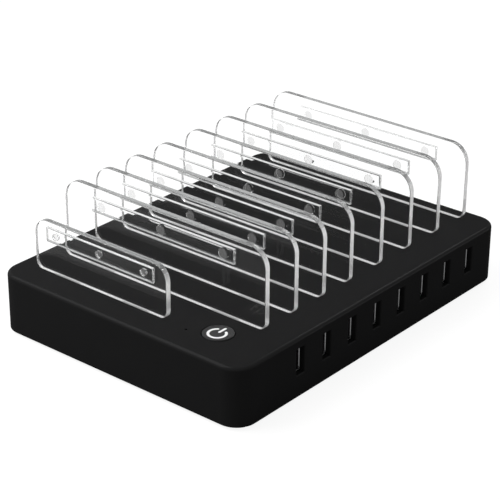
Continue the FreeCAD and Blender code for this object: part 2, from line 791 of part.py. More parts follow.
# Power button
def symbol_solids(name, grow, bottom, top):
    """The open ring and the bar of the power symbol, as two upright solids."""
    centre_y = f"({BUTTON_Y} - symbol_shift)"
    height = f"{top} - ({bottom})"
    middle = "(symbol_diameter/2 - symbol_stroke/2)"
    stroke = f"(symbol_stroke + 2*({grow}))"
    sector = rod(f"{name}_sector", (BUTTON_X, centre_y, bottom), f"2*{middle} + {stroke}", height)
    sector.Placement = FreeCAD.Placement(sector.Placement.Base, FreeCAD.Rotation(
        FreeCAD.Vector(0, 0, 1), 90 + value("symbol_gap_angle")))
    bind(sector, {"Angle": "360 - 2*symbol_gap_angle"})
    core = rod(f"{name}_core", (BUTTON_X, centre_y, bottom), f"2*{middle} - {stroke}", height)
    arc = cut(f"{name}_arc", sector, [core])
    ends = []
    for side, sign in (("left", "-"), ("right", "+")):
        x = f"{BUTTON_X} {sign} {middle}*sin(symbol_gap_angle*1 deg)"
        y = f"{centre_y} + {middle}*cos(symbol_gap_angle*1 deg)"
        ends.append(rod(f"{name}_end_{side}", (x, y, bottom), stroke, height))
    ring = join(f"{name}_ring", [arc] + ends)
    bar_low = f"({centre_y} + bar_start + symbol_stroke/2)"
    bar_high = f"({centre_y} + bar_end - symbol_stroke/2)"
    middle_bar = box(
        f"{name}_bar_middle", (f"{BUTTON_X} - {stroke}/2", bar_low, bottom),
        (f"{BUTTON_X} + {stroke}/2", bar_high, top))
    caps = [
        rod(f"{name}_bar_{end}", (BUTTON_X, y, bottom), stroke, height)
        for end, y in (("low", bar_low), ("high", bar_high))
    ]
    return [ring, join(f"{name}_bar", [middle_bar] + caps)]


def power_button():
    """A round cap with a retaining flange and a stem, and the symbol let into its face."""
    face = f"({CASE_TOP} + button_proud)"
    cap = doc.addObject("PartDesign::Body", "button_cap")
    sketch = new_sketch(cap, "XY_Plane", (BUTTON_X, BUTTON_Y, FLANGE_BOTTOM))
    circle = Part.Circle(FreeCAD.Vector(), FreeCAD.Vector(0, 0, 1), value("button_diameter") / 2)
    sketch.addGeometry(circle)
    sketch.addConstraint(Sketcher.Constraint("Coincident", 0, 3, -1, 1))
    set_sizes(sketch, {
        "diameter": (Sketcher.Constraint("Diameter", 0, value("button_diameter")), "button_diameter"),
    })
    pad(cap, sketch, f"{face} - {FLANGE_BOTTOM}")
    round_edges(cap, "button_edge_round", lies_at("z", face))
    flange = rod(
        "button_flange", (BUTTON_X, BUTTON_Y, FLANGE_BOTTOM), "button_diameter + 2*flange_width",
        "flange_thickness")
    stem = rod(
        "button_stem", (BUTTON_X, BUTTON_Y, STEM_BOTTOM), "stem_diameter", "stem_length + flange_thickness")
    blank = join("button_blank", [cap, flange, stem])
    pockets = symbol_solids("symbol_pocket", "symbol_fit", f"{face} - symbol_depth", f"{face} + symbol_depth")
    keep(cut("power_button", blank, pockets), "power_button")
    inlay = symbol_solids("symbol", "0", f"{face} - symbol_depth", face)
    keep(group("power_symbol", inlay), "power_symbol")


def switch_parts():
    """The push switch under the button, with the plunger that the stem presses."""
    body = box(
        "switch_body",
        (f"{BUTTON_X} - switch_width/2", f"{BUTTON_Y} - switch_width/2", SWITCH_BOARD_TOP),
        (f"{BUTTON_X} + switch_width/2", f"{BUTTON_Y} + switch_width/2", SWITCH_TOP))
    bore_depth = "(plunger_inside + button_travel + plunger_fit)"
    bore = rod(
        "switch_bore", (BUTTON_X, BUTTON_Y, f"{SWITCH_TOP} - {bore_depth}"),
        "plunger_diameter + 2*plunger_fit", f"2*{bore_depth}")
    keep(cut("power_switch", body, [bore]), "power_switch")
    plunger = rod(
        "switch_plunger", (BUTTON_X, BUTTON_Y, f"{SWITCH_TOP} - plunger_inside"), "plunger_diameter",
        "plunger_inside + plunger_proud")
    keep(plunger, "switch_plunger")


def switch_board():
    """The small board under the top, its connector to the main board and the indicator lamp on it."""
    half_width = "switch_board_width/2"
    half_length = "switch_board_length/2"
    blank = box(
        "switch_board_blank",
        (f"{SWITCH_BOARD_X} - {half_width}", f"{BUTTON_Y} - {half_length}", SWITCH_BOARD_BOTTOM),
        (f"{SWITCH_BOARD_X} + {half_width}", f"{BUTTON_Y} + {half_length}", SWITCH_BOARD_TOP))
    holes = [
        rod(f"switch_board_hole_{number}", (x, y, f"{SWITCH_BOARD_BOTTOM} - board_thickness"),
            "board_screw_diameter + 2*board_hole_fit", "3*board_thickness")
        for number, (x, y) in enumerate(SWITCH_POST_PLACES, start=1)
    ]
    keep(cut("switch_board", blank, holes), "switch_board")
    link = box(
        "link_connector",
        (f"{BUTTON_X} - link_width/2", f"{BUTTON_Y} - link_length/2", BOARD_TOP),
        (f"{BUTTON_X} + link_width/2", f"{BUTTON_Y} + link_length/2", SWITCH_BOARD_BOTTOM))
    keep(link, "link_connector")


def indicator_lamp():
    """A round-nosed lamp on two leads, with its nose under the small hole in the top."""
    nose_z = f"({CEILING} - lamp_gap - lamp_diameter/2)"
    bottom = f"({nose_z} - lamp_body_height)"
    nose = doc.addObject("Part::Sphere", "lamp_nose")
    bind(nose, {"Radius": "lamp_diameter/2"})
    place(nose, (LAMP_X, LAMP_Y, nose_z), TURNS["z"])
    barrel = rod("lamp_barrel", (LAMP_X, LAMP_Y, bottom), "lamp_diameter", "lamp_body_height")
    collar = rod("lamp_rim", (LAMP_X, LAMP_Y, bottom), "lamp_diameter + 2*lamp_collar", "2*lamp_collar")
    leads = []
    for side, sign in (("left", "-"), ("right", "+")):
        x = f"({LAMP_X} {sign} lamp_lead_spacing/2)"
        leads.append(box(
            f"lamp_lead_{side}",
            (f"{x} - lamp_lead_width/2", f"{LAMP_Y} - lamp_lead_width/2", SWITCH_BOARD_TOP),
            (f"{x} + lamp_lead_width/2", f"{LAMP_Y} + lamp_lead_width/2", f"{bottom} + lamp_collar")))
    keep(join("indicator_lamp", [nose, barrel, collar] + leads), "indicator_lamp")


# Main board and the sockets on it
def main_board():
    """The board that fills the box, notched round the screw bosses."""
    reach_x = f"({INNER_X} - board_gap)"
    reach_y = f"({INNER_Y} - board_gap)"
    blank = box("board_blank", (f"-{reach_x}", f"-{reach_y}", BOARD_BOTTOM), (reach_x, reach_y, BOARD_TOP))
    tools = []
    for number, (x, y) in enumerate(four_corners(reach_x, reach_y), start=1):
        tools.append(box(
            f"board_notch_{number}",
            (f"{x} - board_notch_x", f"{y} - board_notch_y", f"{BOARD_BOTTOM} - board_thickness"),
            (f"{x} + board_notch_x", f"{y} + board_notch_y", f"{BOARD_TOP} + board_thickness")))
    for number, (x, y) in enumerate(BOARD_POST_PLACES, start=1):
        tools.append(rod(
            f"board_hole_{number}", (x, y, f"{BOARD_BOTTOM} - board_thickness"),
            "board_screw_diameter + 2*board_hole_fit", "3*board_thickness"))
    keep(cut("main_board", blank, tools), "main_board")


def usb_shell(index):
    """A folded metal tube that stands on the board behind its opening, with a bevelled mouth."""
    name = f"usb_shell_{index + 1}"
    y = port_y(index)
    outer = box(
        f"{name}_outer",
        (SHELL_BACK, f"{y} - shell_width/2", f"{PORT_Z} - shell_height/2"),
        (SHELL_MOUTH, f"{y} + shell_width/2", f"{PORT_Z} + shell_height/2"))
    inner_width = "(shell_width - 2*shell_wall)"
    inner_height = "(shell_height - 2*shell_wall)"
    inner = box(
        f"{name}_inner",
        (f"{SHELL_BACK} - shell_wall", f"{y} - {inner_width}/2", f"{PORT_Z} - {inner_height}/2"),
        (f"{SHELL_MOUTH} + shell_wall", f"{y} + {inner_width}/2", f"{PORT_Z} + {inner_height}/2"))
    lead_in = mouth(
        f"{name}_mouth", (f"{SHELL_MOUTH} - shell_lead_in", y, PORT_Z), inner_width, inner_height,
        "shell_lead_in")
    keep(cut(name, outer, [inner, lead_in]), name)


def usb_insulators():
    """In each shell, a block at the back and the tongue that it carries."""
    solids = []
    inner_side = "(shell_width/2 - shell_wall)"
    for index in range(SOCKET_COUNT):
        y = port_y(index)
        half_width = f"({inner_side} - insulator_fit)"
        half_height = "(shell_height/2 - shell_wall - insulator_fit)"
        block = box(
            f"insulator_{index + 1}_block",
            (SHELL_BACK, f"{y} - {half_width}", f"{PORT_Z} - {half_height}"),
            (f"{SHELL_BACK} + insulator_depth", f"{y} + {half_width}", f"{PORT_Z} + {half_height}"))
        tongue_high = f"({y} + {inner_side} - tongue_offset)"
        tongue = box(
            f"insulator_{index + 1}_tongue",
            (SHELL_BACK, f"{tongue_high} - tongue_thickness", f"{PORT_Z} - tongue_width/2"),
            (f"{SHELL_MOUTH} - tongue_setback", tongue_high, f"{PORT_Z} + tongue_width/2"))
        solids.append(join(f"insulator_{index + 1}", [block, tongue]))
    keep(group("usb_insulators", solids), "usb_insulators")


def usb_contacts():
    """Four flat contacts on the open face of each tongue."""
    solids = []
    start_x = f"({SHELL_BACK} + insulator_depth)"
    for index in range(SOCKET_COUNT):
        face = f"({port_y(index)} + shell_width/2 - shell_wall - tongue_offset - tongue_thickness)"
        for number in range(CONTACTS_PER_SOCKET):
            step = number - (CONTACTS_PER_SOCKET - 1) / 2
            z = f"({PORT_Z} + {step}*contact_pitch)"
            solids.append(box(
                f"contact_{index + 1}_{number + 1}",
                (start_x, f"{face} - contact_thickness", f"{z} - contact_width/2"),
                (f"{start_x} + contact_length", face, f"{z} + contact_width/2")))
    keep(group("usb_contacts", solids), "usb_contacts")


# Mains inlet
def mains_inlet():
    """A two-pin inlet with a figure-eight mouth in the rear wall, standing on the board."""
    block = box(
        "inlet_block",
        ("-inlet_body_width/2", INLET_FRONT, BOARD_TOP),
        ("inlet_body_width/2", INNER_Y, f"{BOARD_TOP} + inlet_body_height"))
    snout = inlet_snout("inlet_snout", "0", f"{INNER_Y} - inlet_rim", "case_wall + inlet_rim")
    floor_y = "(case_length/2 - inlet_cavity_depth)"
    cavity = figure_eight("inlet_cavity", "0", "inlet_waist_height", floor_y, "2*inlet_cavity_depth")
    tail_y = f"({INLET_FRONT} - inlet_pin_tail)"
    pin_length = f"case_length/2 - inlet_pin_setback - {tail_y}"
    holes = []
    pins = []
    for side, sign in (("left", "-"), ("right", "")):
        x = f"{sign}inlet_pin_spacing/2"
        holes.append(rod(
            f"inlet_hole_{side}", (x, tail_y, INLET_Z), "inlet_pin_diameter + 2*inlet_pin_fit", pin_length, "y"))
        pins.append(rod(f"inlet_pin_{side}", (x, tail_y, INLET_Z), "inlet_pin_diameter", pin_length, "y"))
    body = join("inlet_body", [block, snout])
    keep(cut("mains_inlet", body, [cavity] + holes), "mains_inlet")
    keep(group("inlet_pins", pins), "inlet_pins")


# Mains supply
def supply_entry():
    """Filter choke, fuse and rectifier, in a row in front of the inlet."""
    choke = doc.addObject("Part::Torus", "filter_choke")
    bind(choke, {"Radius1": "choke_diameter/2 - choke_wire_diameter/2", "Radius2": "choke_wire_diameter/2"})
    place(choke, (f"{SUPPLY_X} - choke_offset", CHOKE_Y, f"{BOARD_TOP} + choke_wire_diameter/2"), TURNS["z"])
    keep(choke, "filter_choke")
    fuse_x = f"({SUPPLY_X} - choke_offset + choke_diameter/2 + supply_gap)"
    fuse = rod(
        "fuse", (fuse_x, f"{CHOKE_Y} + choke_diameter/2 - fuse_diameter/2", f"{BOARD_TOP} + fuse_diameter/2"),
        "fuse_diameter", "fuse_length", "x")
    keep(fuse, "fuse")
    rectifier_y = f"({CHOKE_Y} - choke_diameter/2)"
    rectifier = box(
        "rectifier", (fuse_x, rectifier_y, BOARD_TOP),
        (f"{fuse_x} + rectifier_width", f"{rectifier_y} + rectifier_thickness", f"{BOARD_TOP} + rectifier_height"))
    keep(rectifier, "rectifier")


def bulk_capacitors():
    """Two large capacitors that lie side by side on the board."""
    cans = [
        rod(f"bulk_capacitor_{number + 1}",
            (f"{SUPPLY_X} - bulk_length/2", f"{BULK_Y} - {number}*(bulk_diameter + supply_gap)",
             f"{BOARD_TOP} + bulk_diameter/2"),
            "bulk_diameter", "bulk_length", "x")
        for number in range(2)
    ]
    keep(group("bulk_capacitors", cans), "bulk_capacitors")


def transformer():
    """A flat core with two windows, and the winding round its middle leg."""
    build = "(core_window_length - 2*winding_fit)"
    winding_height = "(core_height + 2*winding_fit + 2*winding_build)"
    middle_z = f"({BOARD_TOP} + {winding_height}/2)"
    low = (f"{SUPPLY_X} - core_width/2", f"{CORE_Y} - core_length/2", f"{middle_z} - core_height/2")
    high = (f"{SUPPLY_X} + core_width/2", f"{CORE_Y} + core_length/2", f"{middle_z} + core_height/2")
    blank = box("core_blank", low, high)
    windows = []
    for side in (1, -1):
        y = f"({CORE_Y} + {side}*(core_leg/2 + core_window_length/2))"
        windows.append(box(
            f"core_window_{side + 2}",
            (f"{SUPPLY_X} - core_window_width/2", f"{y} - core_window_length/2", f"{middle_z} - core_height"),
            (f"{SUPPLY_X} + core_window_width/2", f"{y} + core_window_length/2", f"{middle_z} + core_height")))
    keep(cut("transformer_core", blank, windows), "transformer_core")
    half_width = "(core_window_width/2 - winding_fit)"
    half_leg = "(core_leg/2 + winding_fit)"
    half_hole = "(core_height/2 + winding_fit)"
    outer = box(
        "winding_outer",
        (f"{SUPPLY_X} - {half_width}", f"{CORE_Y} - {half_leg} - {build}", f"{middle_z} - {winding_height}/2"),
        (f"{SUPPLY_X} + {half_width}", f"{CORE_Y} + {half_leg} + {build}", f"{middle_z} + {winding_height}/2"))
    hole = box(
        "winding_hole",
        (f"{SUPPLY_X} - core_width/2", f"{CORE_Y} - {half_leg}", f"{middle_z} - {half_hole}"),
        (f"{SUPPLY_X} + core_width/2", f"{CORE_Y} + {half_leg}", f"{middle_z} + {half_hole}"))
    keep(cut("transformer_winding", outer, [hole]), "transformer_winding")


def heat_sink():
    """An upright metal plate with fins on both sides."""
    plate = box(
        "sink_plate",
        (f"{SUPPLY_X} - sink_width/2", f"{SINK_Y} - sink_thickness/2", BOARD_TOP),
        (f"{SUPPLY_X} + sink_width/2", f"{SINK_Y} + sink_thickness/2", f"{BOARD_TOP} + sink_height"))
    fins = []
    for number in range(SINK_FIN_COUNT):
        x = f"({SUPPLY_X} + {number - (SINK_FIN_COUNT - 1) / 2}*sink_fin_pitch)"
        fins.append(box(
            f"sink_fin_{number + 1}",
            (f"{x} - sink_fin_thickness/2", f"{SINK_Y} - sink_length/2", BOARD_TOP),
            (f"{x} + sink_fin_thickness/2", f"{SINK_Y} + sink_length/2", f"{BOARD_TOP} + sink_height")))
    keep(join("heat_sink", [plate] + fins), "heat_sink")


def charge_control():
    """A capacitor and a control chip behind each pair of sockets."""
    x = "(case_width/2 - output_inset)"
    cans = []
    chips = []
    for number in range(CHIP_COUNT):
        can_y = port_y(2 * number)
        chip_y = port_y(2 * number + 1)
        cans.append(rod(
            f"output_capacitor_{number + 1}", (x, can_y, BOARD_TOP), "output_diameter", "output_height"))
        chips.append(box(
            f"charge_chip_{number + 1}",
            (f"{x} - chip_length/2", f"{chip_y} - chip_width/2", BOARD_TOP),
            (f"{x} + chip_length/2", f"{chip_y} + chip_width/2", f"{BOARD_TOP} + chip_height")))
    keep(group("output_capacitors", cans), "output_capacitors")
    keep(group("charge_chips", chips), "charge_chips")


def write_parts():
    """Checks every object, then writes each sub-part to a file of its own."""
    doc.recompute()
    failed = [item.Label for item in doc.Objects if {"Invalid", "Error"} & set(item.State)]
    if failed:
        raise RuntimeError(f"objects that failed: {failed}")
    for piece in parts:
        if piece.Shape.isNull() or not piece.Shape.isValid() or not piece.Shape.Solids:
            raise RuntimeError(f"not a sound solid: {piece.Label}")
    os.makedirs("parts", exist_ok=True)
    for piece in parts:
        piece.Shape.exportStep(f"parts/{piece.Label}.step")
    print(f"{len(parts)} sub-parts, {sum(len(piece.Shape.Solids) for piece in parts)} solids")


upper_housing()
base_plate()
rubber_feet()
housing_screws()
for number in range(DIVIDER_COUNT):
    divider(number)
    bumper_strip(number)
power_button()
switch_parts()
switch_board()
indicator_lamp()
main_board()
board_screws()
for number in range(SOCKET_COUNT):
    usb_shell(number)
usb_insulators()
usb_contacts()
mains_inlet()
supply_entry()
bulk_capacitors()
transformer()
heat_sink()
charge_control()
write_parts()
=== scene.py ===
import functools
import json
import math

import bpy
from mathutils import Matrix, Vector


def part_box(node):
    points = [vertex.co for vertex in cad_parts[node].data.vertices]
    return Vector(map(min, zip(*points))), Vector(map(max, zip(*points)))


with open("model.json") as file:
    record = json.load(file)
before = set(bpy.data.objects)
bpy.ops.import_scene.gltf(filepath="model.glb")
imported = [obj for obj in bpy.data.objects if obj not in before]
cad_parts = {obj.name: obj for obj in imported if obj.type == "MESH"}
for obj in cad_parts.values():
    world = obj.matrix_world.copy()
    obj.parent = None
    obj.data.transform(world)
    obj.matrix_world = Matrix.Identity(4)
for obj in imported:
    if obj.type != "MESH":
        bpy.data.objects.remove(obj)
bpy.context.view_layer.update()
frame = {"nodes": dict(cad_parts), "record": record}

MM = 0.001

# One divider of each size, on which the clear materials are measured
SMALL_DIVIDER = 1
LARGE_DIVIDER = 2

# Round pegs that hold the bumper strips, in a row across each divider, and how closely the strips cling
SMALL_PEGS = {"middle": -22.4 * MM, "pitch": 28.0 * MM, "radius": 1.75 * MM, "cling": 0.65}
LARGE_PEGS = {"middle": -2.2 * MM, "pitch": 37.4 * MM, "radius": 2.5 * MM, "cling": 1.0}
RIGHT_END_CLING = 0.4

# How far the walls of a peg's hole lie outside the peg, and those of a pocket outside its strip, at most
PEG_HOLE_WALL = 0.5 * MM
POCKET_WALL = 0.3 * MM

# Radius of the dividers' lower corners
BASE_CORNER = 4.0 * MM

# Fit of the clear pieces: a little air round the dividers, while the soft strips swell to grip their pegs
DIVIDER_AIR = 0.03 * MM
STRIP_SWELL = 0.15 * MM
WELD_REACH = 0.001 * MM

# Clear pieces: how they bend, mirror and tint light, and the haze on their faces
ACRYLIC_IOR = 1.49
SILICONE_IOR = 1.41
CLEAR_GLOSS = (0.02, 0.02, 0.02, 1.0)
CLEAR_SHEET = (0.997, 0.998, 0.998)
CLEAR_RUBBER = (0.99, 0.993, 0.993)
SHEET_HAZE = 0.01
SHEET_HAZE_WIDTH = 30.0 * MM
RUBBER_HAZE = 0.02
RUBBER_HAZE_WIDTH = 6.0 * MM

# Cut edges of the dividers: colour, cloud and roughness on top, at the sawn ends, and at the left end
EDGE_GREY = (0.3, 0.305, 0.305)
SAWN_DARK = (0.88, 0.88, 0.88)
SAWN_LIGHT = (0.98, 0.98, 0.98)
SAW_MARK = 3.0 * MM
EDGE_CLOUD_LOW = 0.36
EDGE_CLOUD_HIGH = 0.44
SAWN_CLOUD = 0.7
LEFT_CLOUD = 0.2
EDGE_SATIN = 0.06
SAWN_SATIN = 0.4
LEFT_SATIN = 0.75

# Peg ends, and a painted highlight: a pale cloudy line along a divider's lower outline, where it stands on
# the casing
PEG_GREY = (0.8, 0.8, 0.8)
PEG_CLOUD = 0.2
BASE_HIGHLIGHT_GREY = (0.9, 0.9, 0.9)
BASE_HIGHLIGHT_CLOUD = 0.8
BASE_HIGHLIGHT_HEIGHT = 0.4 * MM
BASE_HIGHLIGHT_DEPTH = 0.9 * MM

# Cut edges of the strips, with painted shade on those that face down, and the cloudy border along the foot of
# their front
STRIP_WHITE = (0.9, 0.905, 0.905)
RUBBER_CLOUD = 0.7
RUBBER_END_CLOUD = 0.15
BAND_AND_UNDERSIDE_SHADE_GREY = (0.5, 0.505, 0.505)
BAND_CLOUD = 0.32
BAND_HEIGHT = 1.4 * MM

# Where patterns start and end: over a place, a noise, or how far a surface faces an axis
SOFT_EDGE = 0.2 * MM
SAW_MARK_RAMP = (0.3, 0.7)
AGAINST_RAMP = (-0.9, -0.5)
RUBBER_AGAINST_RAMP = (-0.8, -0.3)
FACE_RAMP = (0.5, 0.95)
END_RAMP = (0.6, 0.95)
ABOVE_SIDES_RAMP = (0.1, 0.4)
BELOW_TOPS_RAMP = (0.95, 0.998)

# How finely the patches and the grain of a surface are broken up
PATCH_DETAIL = 4.0
GRAIN_DETAIL = 2.0

# Edges of moulded plastic: how much more they shine than the faces
EDGE_POLISH = 0.075
EDGE_POLISH_ROUGHNESS = 0.12

# Camera: angles and lengths that put the object in the picture as it was photographed
CAMERA_TURN = math.radians(39.789)
CAMERA_RISE = math.radians(25.806)
CAMERA_ROLL = math.radians(0.417)
CAMERA_TARGET = Vector((0.0, 0.0, 16.5 * MM))
CAMERA_ASIDE = -3.182 * MM
CAMERA_ABOVE = 11.149 * MM
CAMERA_DISTANCE = 873.842 * MM
CAMERA_LENS = 127.69
CAMERA_SENSOR = 36.0

# Floor and light
FLOOR_HALF = 4.0
FLOOR_GREY = 0.5
FLOOR_GLOW = 0.9
FLOOR_SHADE = 0.2
FLOOR_MIRRORED = 0.1
WORLD_LIGHT = 0.28
SOFTBOX_SIZE = (0.45, 0.45)
SOFTBOX_POWER = 2.4
SOFTBOX_PLACE = Vector((-0.24, -0.24, 0.42))
RIM_LAMP_SIZE = (0.4, 0.22)
RIM_LAMP_POWER = 1.3
RIM_LAMP_PLACE = Vector((-0.12, 0.56, 0.54))
SIDE_LAMP_SIZE = (0.3, 0.12)
SIDE_LAMP_POWER = 0.3
SIDE_LAMP_PLACE = Vector((0.45, 0.5, 0.1))
CLEAR_BOUNCES = 64
GLOSS_BOUNCES = 32


# Nodes
def add_node(tree, kind, **settings):
    """A new shader node with its settings."""
    node = tree.nodes.new(f"ShaderNode{kind}")
    for name, setting in settings.items():
        setattr(node, name, setting)
    return node


def feed(tree, socket, source):
    """Gives a socket another node's output, or a fixed value."""
    if isinstance(source, bpy.types.NodeSocket):
        tree.links.new(source, socket)
    else:
        socket.default_value = source


def math_node(tree, operation, first, second=0.0):
    """One operation on one or two inputs, each a socket or a number."""
    node = add_node(tree, "Math", operation=operation)
    feed(tree, node.inputs[0], first)
    feed(tree, node.inputs[1], second)
    return node.outputs["Value"]


def combine(tree, operation, *sources):
    """The same operation on two or more inputs, one after the other."""
    return functools.reduce(functools.partial(math_node, tree, operation), sources)


def product(tree, *sources):
    """All the inputs multiplied."""
    return combine(tree, "MULTIPLY", *sources)


def strongest(tree, *sources):
    """The largest of the inputs."""
    return combine(tree, "MAXIMUM", *sources)


def distance(tree, *sides):
    """How far a point is from another, from the lengths between them along the axes."""
    squares = [math_node(tree, "POWER", side, 2.0) for side in sides]
    return math_node(tree, "SQRT", combine(tree, "ADD", *squares))


def from_middle(tree, place, start, end):
    """How far a place on an axis is from the middle between two others."""
    return math_node(tree, "ABSOLUTE", math_node(tree, "SUBTRACT", place, (start + end) / 2))


def spread(tree, source, low, high, start=0.0, end=1.0):
    """A number that goes from low to high as its source goes from start to end."""
    node = add_node(tree, "MapRange")
    node.inputs["From Min"].default_value = start
    node.inputs["From Max"].default_value = end
    node.inputs["To Min"].default_value = low
    node.inputs["To Max"].default_value = high
    tree.links.new(source, node.inputs["Value"])
    return node.outputs["Result"]


def blend_colors(tree, share, first, second):
    """A colour between two others."""
    node = add_node(tree, "Mix", data_type="RGBA")
    tree.links.new(share, node.inputs["Factor"])
    for socket, color in ((node.inputs["A"], first), (node.inputs["B"], second)):
        feed(tree, socket, (*color, 1.0) if isinstance(color, tuple) else color)
    return node.outputs["Result"]


def coordinates(tree, kind):
    """A point's place (Object) or a surface's direction (Normal), along the piece's own axes X, Y and Z."""
    place = add_node(tree, "TexCoord")
    axes = add_node(tree, "SeparateXYZ")
    tree.links.new(place.outputs[kind], axes.inputs["Vector"])
    return axes.outputs


def patches(tree, width, detail=PATCH_DETAIL):
    """Soft random patches of about one width, fixed to the piece."""
    place = add_node(tree, "TexCoord")
    noise = add_node(tree, "TexNoise")
    noise.inputs["Scale"].default_value = 1.0 / width
    noise.inputs["Detail"].default_value = detail
    tree.links.new(place.outputs["Object"], noise.inputs["Vector"])
    return noise.outputs["Fac"]


def raise_surface(tree, shader, heights, height):
    """Relief on a surface, as high as given where the pattern is 1."""
    bump = add_node(tree, "Bump")
    bump.inputs["Strength"].default_value = 1.0
    bump.inputs["Distance"].default_value = height
    tree.links.new(heights, bump.inputs["Height"])
    tree.links.new(bump.outputs["Normal"], shader.inputs["Normal"])


# Patterns on the clear pieces
def facing(tree, axis):
    """How far a surface faces an axis, from -1 to 1, also where light meets it from inside."""
    side = add_node(tree, "NewGeometry")
    sign = spread(tree, side.outputs["Backfacing"], 1.0, -1.0)
    return product(tree, coordinates(tree, "Normal")[axis], sign)


def turned_against(tree, axis, ramp=AGAINST_RAMP):
    """1 on what faces against an axis: to the left (X), to the front (Y) or down (Z)."""
    return spread(tree, facing(tree, axis), 1.0, 0.0, *ramp)


def cut_edges(tree):
    """1 on the cut edges of an upright plate, 0 on its two faces."""
    return spread(tree, math_node(tree, "ABSOLUTE", facing(tree, "Y")), 1.0, 0.0, *FACE_RAMP)


def turned_aside(tree):
    """1 on the two upright end edges of a divider or strip, 0 on its top and bottom edges."""
    return spread(tree, math_node(tree, "ABSOLUTE", facing(tree, "X")), 0.0, 1.0, *END_RAMP)


def middle_height(box):
    """How high the middle of a box is."""
    low, high = box
    return (low.z + high.z) / 2


def near_pegs(tree, pegs, height, reach):
    """1 within reach of a peg's middle line, 0 elsewhere."""
    axes = coordinates(tree, "Object")
    along = math_node(tree, "SUBTRACT", axes["X"], pegs["middle"])
    steps = math_node(tree, "ROUND", math_node(tree, "DIVIDE", along, pegs["pitch"]))
    across = math_node(tree, "SUBTRACT", along, product(tree, steps, pegs["pitch"]))
    above = math_node(tree, "SUBTRACT", axes["Z"], height)
    return spread(tree, distance(tree, across, above), 1.0, 0.0, reach - SOFT_EDGE, reach)


def peg_ends(tree, pegs, strip):
    """1 on the front ends of the pegs."""
    discs = near_pegs(tree, pegs, middle_height(strip), pegs["radius"])
    return product(tree, discs, turned_against(tree, "Y"))


def from_outline(tree, plate, base):
    """How far a point of a divider's lower part is inside its outline, which has round lower corners."""
    low, high = plate
    axes = coordinates(tree, "Object")
    across = from_middle(tree, axes["X"], low.x, high.x)
    past_corner = math_node(tree, "SUBTRACT", across, (high.x - low.x) / 2 - BASE_CORNER)
    below_corner = math_node(tree, "SUBTRACT", base + BASE_CORNER, axes["Z"])
    sides = [math_node(tree, "MAXIMUM", side, 0.0) for side in (past_corner, below_corner)]
    return math_node(tree, "SUBTRACT", BASE_CORNER, distance(tree, *sides))


def base_line(tree, plate, base):
    """1 along the lower outline of a divider, where it stands on the casing, and 0 on its tabs: where a
    painted highlight goes.
    """
    inward = from_outline(tree, plate, base)
    above_tabs = spread(tree, inward, 0.0, 1.0, -BASE_HIGHLIGHT_DEPTH, SOFT_EDGE - BASE_HIGHLIGHT_DEPTH)
    below_sheet = spread(tree, inward, 1.0, 0.0, BASE_HIGHLIGHT_HEIGHT, BASE_HIGHLIGHT_HEIGHT + SOFT_EDGE)
    height = coordinates(tree, "Object")["Z"]
    low_down = spread(tree, height, 1.0, 0.0, base + BASE_CORNER / 2, base + BASE_CORNER)
    return product(tree, above_tabs, below_sheet, low_down)


def within_strip(tree, strip):
    """1 where the bumper strip and its pocket lie, seen from the front, and 0 elsewhere."""
    low, high = strip
    axes = coordinates(tree, "Object")
    shares = []
    for axis, start, end in (("X", low.x, high.x), ("Z", low.z, high.z)):
        away = from_middle(tree, axes[axis], start, end)
        reach = (end - start) / 2 + POCKET_WALL
        shares.append(spread(tree, away, 1.0, 0.0, reach, reach + SOFT_EDGE))
    return product(tree, *shares)


def lower_border(tree, strip):
    """1 along the foot of a strip's front."""
    low, _ = strip
    end = low.z + BAND_HEIGHT
    border = spread(tree, coordinates(tree, "Object")["Z"], 1.0, 0.0, end, end + SOFT_EDGE)
    return product(tree, border, turned_against(tree, "Y"))


def clinging(tree, pegs, strip, sides):
    """How far a strip's cut faces cling: wholly round the pegs and at the left end, less at the right end."""
    holes = near_pegs(tree, pegs, middle_height(strip), pegs["radius"] + PEG_HOLE_WALL)
    ends = spread(tree, facing(tree, "X"), 1.0, RIGHT_END_CLING, *RUBBER_AGAINST_RAMP)
    return strongest(tree, holes, product(tree, ends, sides))


# Clear materials
def start_material(name, **constants):
    """A material with one shader, whose constant inputs are set by name, with _ for a space."""
    material = bpy.data.materials.new(name)
    material.use_nodes = True
    shader = material.node_tree.nodes["Principled BSDF"]
    for socket, constant in constants.items():
        shader.inputs[socket.replace("_", " ")].default_value = constant
    return material, material.node_tree, shader


def set_cloud(tree, shader, cloud):
    """Makes a clear piece cloudy where the pattern says."""
    tree.links.new(math_node(tree, "SUBTRACT", 1.0, cloud), shader.inputs["Transmission Weight"])


def hide(tree, shader, share, cling):
    """Lets light pass unbent where the soft strip clings to the sheet."""
    tree.links.new(spread(tree, share, 1.0, 1.0 - cling), shader.inputs["Alpha"])


def sheet_cloud(tree, edges, sides, left, marks):
    """How milky a divider's cut edges are: most on top, less at the right end, least at the left end."""
    milky = spread(tree, marks, EDGE_CLOUD_LOW, EDGE_CLOUD_HIGH)
    at_ends = spread(tree, sides, 1.0, SAWN_CLOUD)
    at_left = spread(tree, left, 1.0, LEFT_CLOUD)
    return product(tree, edges, milky, at_ends, at_left)


def sheet_color(tree, edges, sides, marks):
    """Clear faces, grey top edges, and pale sawn ends with darker marks."""
    sawn = blend_colors(tree, marks, SAWN_LIGHT, SAWN_DARK)
    edge_color = blend_colors(tree, sides, EDGE_GREY, sawn)
    return blend_colors(tree, edges, CLEAR_SHEET, edge_color)


def sheet_roughness(tree, edges, sides, left):
    """A little haze on the faces, satin top edges, and rough sawn ends, roughest at the left."""
    haze = spread(tree, patches(tree, SHEET_HAZE_WIDTH), 0.0, SHEET_HAZE)
    sawn_satin = product(tree, sides, spread(tree, left, SAWN_SATIN, LEFT_SATIN))
    satin = product(tree, edges, strongest(tree, sawn_satin, EDGE_SATIN))
    return math_node(tree, "ADD", haze, satin)


